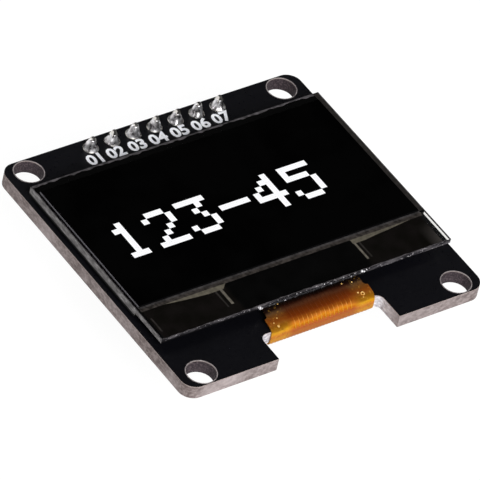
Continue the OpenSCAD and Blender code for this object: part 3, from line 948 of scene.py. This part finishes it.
# What shows through the ledge, each a step above the last: its finish and its plates' corners
# in millimetres
LEDGE_PRINTS = {
    "seal_line": ("epoxy_frit_seal", oblong(-16.95, -7.0, 16.6, -6.4)),
    # A painted highlight along the film's lower edge
    "film_edge_highlight": ("painted_film_edge_highlight", oblong(-16.95, -6.6, 16.6, -6.38)),
    "ledge_fans": (
        "metal_fan_out",
        ((-14.4, -7.0), (-12.0, -7.33), (-9.5, -7.57), (-7.75, -7.57), (-7.15, -7.0)),
        ((7.75, -7.0), (7.75, -7.57), (9.3, -7.57), (10.4, -7.42), (12.4, -7.28), (15.0, -7.0))),
    "ledge_lines": ("sputtered_metal", oblong(-8.2, -9.66, -7.9, -7.5),
                    oblong(7.82, -9.9, 8.06, -7.5)),
    "ledge_marks": (
        "alignment_metal", ((-8.76, -9.85), (-8.6, -9.85), (-8.6, -7.6), (-8.82, -7.6)),
        oblong(8.36, -9.8, 8.54, -7.6), oblong(16.6, -6.4, 17.12, 12.0),
        oblong(-16.68, -10.0, -16.5, -8.1)),
}


class DISPLAYMODULE_OT_panel(bpy.types.Operator):
    """Finishes the glass panel, its film, its tape and its driver chip"""
    bl_idname = "display_module.panel"
    bl_label = "Glass panel"

    def execute(self, context):
        coat(glass_material(), "substrate_glass")
        coat(cap_material(), "cap_glass")
        coat(film_material(), "polarizer")
        coat(plain_material("acrylic_foam_tape"), "adhesive_tape")
        coat(plain_material("polished_silicon"), "driver_chip")
        return {"FINISHED"}


def print_plates(name, material, level, plates):
    """Prints thin level plates on the glass, from their corners in millimetres."""
    shape = bmesh.new()
    for corners in plates:
        bridge(shape, [[(x * MM, y * MM, z) for x, y in corners]
                       for z in (level, level + PRINT_STEP)])
    keep(solid(name, shape, material), "panel_glass")


class DISPLAYMODULE_OT_ledge(bpy.types.Operator):
    """Prints what shows through the ledge: the black cover, the metal lines and the marks"""
    bl_idname = "display_module.ledge"
    bl_label = "Ledge prints"

    def execute(self, context):
        top = GLASS_HIGH.z
        print_plates("ledge_cover", ledge_material(), top, [oblong(-16.9, -10.84, 16.3, -6.95)])
        for step, (name, (finish, *plates)) in enumerate(LEDGE_PRINTS.items(), 1):
            print_plates(name, plain_material(finish), top + step * PRINT_STEP, plates)
        return {"FINISHED"}


class DISPLAYMODULE_OT_arris(bpy.types.Operator):
    """Runs a painted highlight, a broken bright line, along the panel's upper edges"""
    bl_idname = "display_module.arris"
    bl_label = "Glass arris"

    def execute(self, context):
        shape, steps = bmesh.new(), 140
        left, right = GLASS_LOW.x, GLASS_HIGH.x
        low, high, top = GLASS_LOW.y, GLASS_HIGH.y, GLASS_HIGH.z
        # Each edge's ends, its direction inwards and its line's width in millimetres
        for number, (start, end, inward, width) in enumerate((
                ((left, low), (right, low), (0, 1), 0.08),
                ((left, high), (right, high), (0, -1), 0.2),
                ((left, low), (left, high), (1, 0), 0.08),
                ((right, low), (right, high), (-1, 0), 0.1))):
            rows = []
            for i in range(steps + 1):
                x, y = Vector(start).lerp(Vector(end), i / steps)
                # How far the painted highlight reaches in, uneven along the edge
                unevenness = noise.noise(Vector((i / steps * 60, number * 7.7, 0.3)))
                reach = width * MM * max(0.25, 1 + 1.1 * unevenness)
                rows.append([(x + inward[0] * d, y + inward[1] * d, top + z) for d, z in (
                    (0, 0), (0, PRINT_LIFT), (reach, PRINT_LIFT), (reach, 0))])
            bridge(shape, rows)
        keep(solid("glass_edge_highlight", shape, plain_material("painted_edge_highlight")), "panel_glass")
        return {"FINISHED"}


class DISPLAYMODULE_OT_readout(bpy.types.Operator):
    """Lights the display's dots in plain block figures"""
    bl_idname = "display_module.readout"
    bl_label = "Lit readout"

    def execute(self, context):
        settings = context.scene.module_panel
        pitch, cell, width = settings.dot_pitch, settings.cell, settings.dot_width
        cells = [(place * (COLUMNS + 1) + column, row)
                 for place, figure in enumerate(settings.readout)
                 for row, bits in enumerate(FIGURES[figure])
                 for column in range(COLUMNS) if bits >> (COLUMNS - 1 - column) & 1]
        points = [(settings.readout_left + (column * cell + a + 0.5) * pitch,
                   settings.readout_top - (row * cell + b + 0.5) * pitch, FILM_TOP)
                  for column, row in cells for a in range(cell) for b in range(cell)]
        keep(grow(point_cloud("lit_pixels", points),
                  block_tree("dot_blocks", (width, width, 0.012 * MM)),
                  light_material(settings.light)), "polarizer_film")
        return {"FINISHED"}


# The bead of resin: its ends across, and its two thick places, in millimetres
RESIN_LEFT, RESIN_RIGHT, RESIN_BLOBS = -6.2, 7.1, (-5.55, 6.4)
# Drops that stand out of the resin: X, Y, Z and radius in millimetres
RESIN_DROPS = ((-5.75, -11.06, 2.62, 0.16), (-5.5, -11.06, 2.5, 0.1), (-5.95, -11.0, 2.7, 0.07),
               (6.42, -11.0, 2.74, 0.13), (6.7, -11.02, 2.62, 0.1), (7.0, -10.98, 2.72, 0.07),
               (1.9, -11.0, 2.76, 0.06), (-1.4, -11.0, 2.74, 0.05), (4.2, -11.0, 2.75, 0.06))


class DISPLAYMODULE_OT_sealant(bpy.types.Operator):
    """Runs the lumpy bead of resin along the ribbon's bond under the glass edge"""
    bl_idname = "display_module.sealant"
    bl_label = "Sealing resin"

    def execute(self, context):
        shape, steps, rings = bmesh.new(), 150, []
        middle_y, middle_z = GLASS_LOW.y - 0.01 * MM, GLASS_LOW.z + 0.12 * MM
        for i in range(steps + 1):
            x = RESIN_LEFT + (RESIN_RIGHT - RESIN_LEFT) * i / steps
            taper = math.sqrt(max(min(1.0, 8 * i / steps, 8 * (steps - i) / steps), 0.02))
            lump = noise.noise(Vector((x * 2.6, 3.1, 0.4)))
            blob = sum(math.exp(-((x - place) / 0.2) ** 2) for place in RESIN_BLOBS)
            reach = (0.1 + 0.06 * lump + 0.16 * blob) * taper * MM
            rise = 0.16 * (1 + 0.3 * lump + 0.5 * blob) * taper * MM
            out = [reach * math.cos(a) ** 0.7 if math.cos(a) > 0 else -0.02 * MM
                   for a in angles(10)]
            rings.append([(x * MM, middle_y - d, middle_z + rise * math.sin(a))
                          for d, a in zip(out, angles(10))])
        bridge(shape, rings)
        keep(solid("bond_resin", shape, resin_material(), True), "cap_glass")

        drops, lumps_per_metre, lump_height = bmesh.new(), 5000, 0.03 * MM
        for *place, radius in RESIN_DROPS:
            bmesh.ops.create_icosphere(drops, subdivisions=3, radius=radius * MM,
                                       matrix=Matrix.Translation(Vector(place) * MM))
        for vert in drops.verts:
            spot = vert.co * lumps_per_metre
            vert.co += lump_height * Vector([noise.noise(spot + Vector((shift, 0, 0)))
                                             for shift in (0, 31.7, 63.4)])
        # The drops are painted pale as glints
        keep(solid("resin_drops", drops, plain_material("painted_glint_resin"), True), "cap_glass")
        return {"FINISHED"}


# ---- ribbon

# The solid ribbon's thickness, the start and radius of its front bends, the radius of its fold
# and its clearance at the board's edges, its shift to the right, and its row of solder beads
THICKNESS, BEND_START, BEND = 0.12 * MM, 0.4 * MM, 0.7 * MM
FOLD, CLEARANCE, RIBBON_SHIFT = 0.45 * MM, 0.03 * MM, 0.3 * MM
NOTCH_Y = BOARD_LOW.y + 3.4 * MM
BEAD_COUNT, BEAD_WIDTH = 30, 0.44 * MM
# Marks in the ribbon's copper, some of them painted glints: place across, distance along, outer
# and inner radius, in mm
RIBBON_MARKS_AND_GLINTS = ((-3.6, 0.45, 0.09, 0.03), (3.9, 0.7, 0.08, 0.03), (5.0, 0.9, 0.08, 0.03),
                (4.9, 2.2, 0.09, 0.03), (5.3, 2.45, 0.22, 0.12), (5.2, 2.8, 0.07, 0.03),
                (-4.9, 2.75, 0.12, 0.04), (-4.6, 1.9, 0.07, 0.03), (-5.2, 2.3, 0.07, 0.03))


def ribbon_path(skin):
    """The ribbon's outer face in the YZ plane from the glass edge to the end of the front bend,
    lifted by a skin."""
    wall = FOLD - (FOLD - CLEARANCE) / math.sqrt(2)
    ledge = Vector((GLASS_LOW.y + BEND_START, GLASS_LOW.z - THICKNESS - BEND))
    drop = math.sqrt((BEND - CLEARANCE) ** 2 - (BEND - wall) ** 2)
    notch = Vector((NOTCH_Y - wall + BEND, BOARD_HIGH.z - drop))
    slope = ledge - notch
    lean = 90 + math.degrees(math.atan2(slope.y, slope.x))
    reach = BEND + THICKNESS + skin
    return [centre + reach * Vector((math.cos(a), math.sin(a)))
            for centre, first, last, steps in ((ledge, 90, lean, 3), (notch, lean, 176, 14))
            for a in (math.radians(first + (last - first) * k / steps)
                      for k in range(steps + 1))]


def point_on_path(path, way):
    """The point and the outward normal at a distance along a path in the YZ plane."""
    for one, two in zip(path, path[1:]):
        step = two - one
        if way <= step.length or two is path[-1]:
            spot = one.lerp(two, min(1, way / step.length))
            return spot, Vector((0, step.y, -step.x)).normalized()
        way -= step.length


def front_traces(settings, path):
    """The row of copper traces over the ribbon's front bend."""
    first = settings.trace_middle - settings.trace_pitch * (settings.trace_count - 1) / 2
    tree, group = new_tree("trace_row", Count=settings.trace_count, Pitch=settings.trace_pitch,
                           Width=settings.trace_width, Height=0.02 * MM)
    curve = add(tree, "GeometryNodeMeshToCurve", [group["Geometry"]])
    step = add(tree, COMBINE, {"X": group["Pitch"]})
    row = add(tree, "GeometryNodeMeshLine", {"Count": group["Count"], "Offset": step})
    end_tree(tree, group, add(tree, "GeometryNodeInstanceOnPoints", {
        "Points": row, "Instance": swept(tree, curve, 6, group["Height"], group["Width"])}))
    return grow(polylines("ribbon_traces", [[(first, *at) for at in path]]), tree,
                trace_material(), True)


def tail_traces(settings):
    """The copper that fans out on the back, from the neck to the row of solder joints."""
    low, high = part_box("ribbon_solder")
    narrowing, under, straight, neck = 0.55, 0.1 * MM, 0.6 * MM, 1.4 * MM
    pitch = (high.x - low.x - BEAD_WIDTH) / (BEAD_COUNT - 1)
    fan = []
    for i in range(BEAD_COUNT):
        x = low.x + BEAD_WIDTH / 2 + pitch * i
        inner = RIBBON_SHIFT + x * narrowing
        fan.append([(x, low.y + under, RIBBON_BACK), (x, low.y - straight, RIBBON_BACK),
                    (inner, NOTCH_Y + neck, RIBBON_BACK), (inner, NOTCH_Y, RIBBON_BACK)])
    return grow(polylines("tail_traces", fan), line_tree(settings.tail_trace_width, 0.02 * MM),
                plain_material("copper_under_cover_film"))


def copper_marks_and_glints(path):
    """Small test points and a ring in the copper, with some marks that are painted glints, each
    turned to the film's own face.
    """
    shape, side, crown = bmesh.new(), Vector((1, 0, 0)), 0.006 * MM
    for x, way, outer, inner in RIBBON_MARKS_AND_GLINTS:
        spot, normal = point_on_path(path, way * MM)
        centre, up = Vector((x * MM, *spot)) + normal * PRINT_STEP, normal.cross(side)
        bridge(shape, [[centre + normal * lift
                        + radius * MM * (math.cos(a) * side + math.sin(a) * up)
                        for a in angles(20)] for radius, lift in (
                            (outer, 0), (outer, crown), (inner, crown), (inner, 0))], "JOINED")
    return solid("ribbon_marks_and_glints", shape, plain_material("gold_marks_and_painted_glints"))


class DISPLAYMODULE_OT_ribbon(bpy.types.Operator):
    """Finishes the ribbon and lays the copper under its cover film"""
    bl_idname = "display_module.ribbon"
    bl_label = "Ribbon"

    def execute(self, context):
        settings = context.scene.module_ribbon
        coat(ribbon_material(), "display_ribbon")
        coat(plain_material("bright_solder"), "ribbon_solder")
        path = ribbon_path(PRINT_LIFT)
        for piece in (front_traces(settings, path), tail_traces(settings), copper_marks_and_glints(path)):
            keep(piece, "polyimide")
        return {"FINISHED"}


# ---- header

def add_fillet(shape, joint, seed, wobble, rows=16):
    """Adds an uneven solder fillet to a bmesh, with the plug of solder in the pin's hole."""
    tip, waist, plug, rise = 0.32 * MM, 0.05 * MM, 0.5 * MM, 1.12
    low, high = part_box(joint)
    middle, foot = middle_of(joint), (high.x - low.x) / 2
    height = (high.z - BOARD_HIGH.z) * rise
    rings = []
    for part in (row / rows for row in range(rows + 1)):
        radius = tip + (foot - tip) * (1 - part) ** 0.9 - waist * math.sin(math.pi * part)
        z = BOARD_HIGH.z + height * part
        uneven = wobble * math.sin(math.pi * min(1, 0.1 + part)) ** 0.5
        ring = []
        for a in angles(36):
            lump = noise.noise(Vector((math.cos(a) * 1.1 + seed, math.sin(a) * 1.1, z * 1100)))
            r = radius * (1 + uneven * lump)
            ring.append((middle.x + r * math.cos(a), middle.y + r * math.sin(a), z))
        rings.append(ring)
    bridge(shape, rings)
    bmesh.ops.create_cone(
        shape, cap_ends=True, segments=24, radius1=plug, radius2=plug,
        depth=BOARD_HIGH.z - BOARD_LOW.z,
        matrix=Matrix.Translation((middle.x, middle.y, (BOARD_HIGH.z + BOARD_LOW.z) / 2)))


class DISPLAYMODULE_OT_header(bpy.types.Operator):
    """Finishes the pins and the strip, and shapes each solder fillet by itself"""
    bl_idname = "display_module.header"
    bl_label = "Header and solder"

    def execute(self, context):
        settings = context.scene.module_parts
        numbers = range(1, len(PINS) + 1)
        joints = [f"solder_joint_{number}" for number in numbers]
        coat(plain_material("glass_filled_nylon"), "header_strip")
        coat(pin_material(), *[f"header_pin_{number}" for number in numbers])
        shape = bmesh.new()
        for number, joint in zip(numbers, joints):
            add_fillet(shape, joint, 17.3 * number, settings.solder_wobble)
        solder = plain_material("tin_silver_solder")
        keep(solid("solder_fillets", shape, solder, True), "solder", *joints)
        return {"FINISHED"}


# ---- back

def chip_ends(terminal):
    """The two ends of every chip part, with their turn and width, listed by the parts' height."""
    groups = {}
    for name in sorted(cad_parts):
        if not name.startswith(("capacitor_", "resistor_")):
            continue
        low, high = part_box(name)
        size, middle = high - low, middle_of(name)
        turn = math.pi / 2 if size.y > size.x else 0.0
        for way in (turn, turn + math.pi):
            end = Vector((middle.x, middle.y, 0)) + Vector(
                (math.cos(way), math.sin(way), 0)) * (max(size.x, size.y) - terminal) / 2
            groups.setdefault(round(size.z, 5), []).append((end, way, min(size.x, size.y)))
    return sorted(groups.items())


class DISPLAYMODULE_OT_back(bpy.types.Operator):
    """Finishes the chip parts and the regulator, with their terminals and fillets"""
    bl_idname = "display_module.back"
    bl_label = "Parts on the back"

    def execute(self, context):
        settings = context.scene.module_parts
        for prefix, finish in (("capacitor_", "fired_capacitor_ceramic"),
                               ("resistor_", "glazed_resistor_film"),
                               ("regulator_case", "epoxy_moulding_compound")):
            coat(plain_material(finish), *[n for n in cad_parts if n.startswith(prefix)])
        tin = plain_material("matt_tin_plate")
        coat(tin, "regulator_leads")

        skin, cap = settings.terminal_skin, settings.terminal_length
        for number, (height, ends) in enumerate(chip_ends(cap), 1):
            places, turns, widths = (list(column) for column in zip(*ends))
            size = (cap + skin, widths[0] + skin, height + skin / 2)
            blocks = block_tree("terminal_blocks", size,
                                (skin / 2, 0.0, -height / 2 - skin / 4))
            wedges = fillet_tree("fillet_wedges", cap / 2 + skin, widths[0],
                                 min(height * 0.7, 0.4 * MM), settings.fillet_reach)
            for name, tree, slot in (("terminals", blocks, "tinned_lead"),
                                     ("fillets", wedges, "solder")):
                keep(grow(point_cloud(f"{name}_{number}", places, turns), tree, tin), slot)
        return {"FINISHED"}


# ---- panel in the sidebar

OPERATORS = (DISPLAYMODULE_OT_stage, DISPLAYMODULE_OT_board, DISPLAYMODULE_OT_numbers,
             DISPLAYMODULE_OT_tracks, DISPLAYMODULE_OT_panel, DISPLAYMODULE_OT_ledge,
             DISPLAYMODULE_OT_arris, DISPLAYMODULE_OT_readout, DISPLAYMODULE_OT_sealant,
             DISPLAYMODULE_OT_ribbon, DISPLAYMODULE_OT_header, DISPLAYMODULE_OT_back)
SETTINGS = {"module_stage": StageSettings, "module_board": BoardSettings,
            "module_panel": PanelSettings, "module_ribbon": RibbonSettings,
            "module_parts": PartsSettings}


class DISPLAYMODULE_PT_pieces(bpy.types.Panel):
    """Lists the pieces of the display module and their settings"""
    bl_idname = "DISPLAYMODULE_PT_pieces"
    bl_label = "Display Module"
    bl_space_type = "VIEW_3D"
    bl_region_type = "UI"
    bl_category = "Display Module"

    def draw(self, context):
        for operator in OPERATORS:
            self.layout.operator(operator.bl_idname)
        for name, group in SETTINGS.items():
            box = self.layout.box()
            for setting in group.__annotations__:
                box.prop(getattr(context.scene, name), setting)


CLASSES = (*SETTINGS.values(), *OPERATORS, DISPLAYMODULE_PT_pieces)


def register():
    for kind in CLASSES:
        bpy.utils.register_class(kind)
    for name, group in SETTINGS.items():
        setattr(bpy.types.Scene, name, PointerProperty(type=group))


def unregister():
    for name in SETTINGS:
        delattr(bpy.types.Scene, name)
    for kind in reversed(CLASSES):
        bpy.utils.unregister_class(kind)


def main():
    register()
    for operator in OPERATORS:
        area, name = operator.bl_idname.split(".")
        getattr(getattr(bpy.ops, area), name)()


if __name__ == "__main__":
    main()
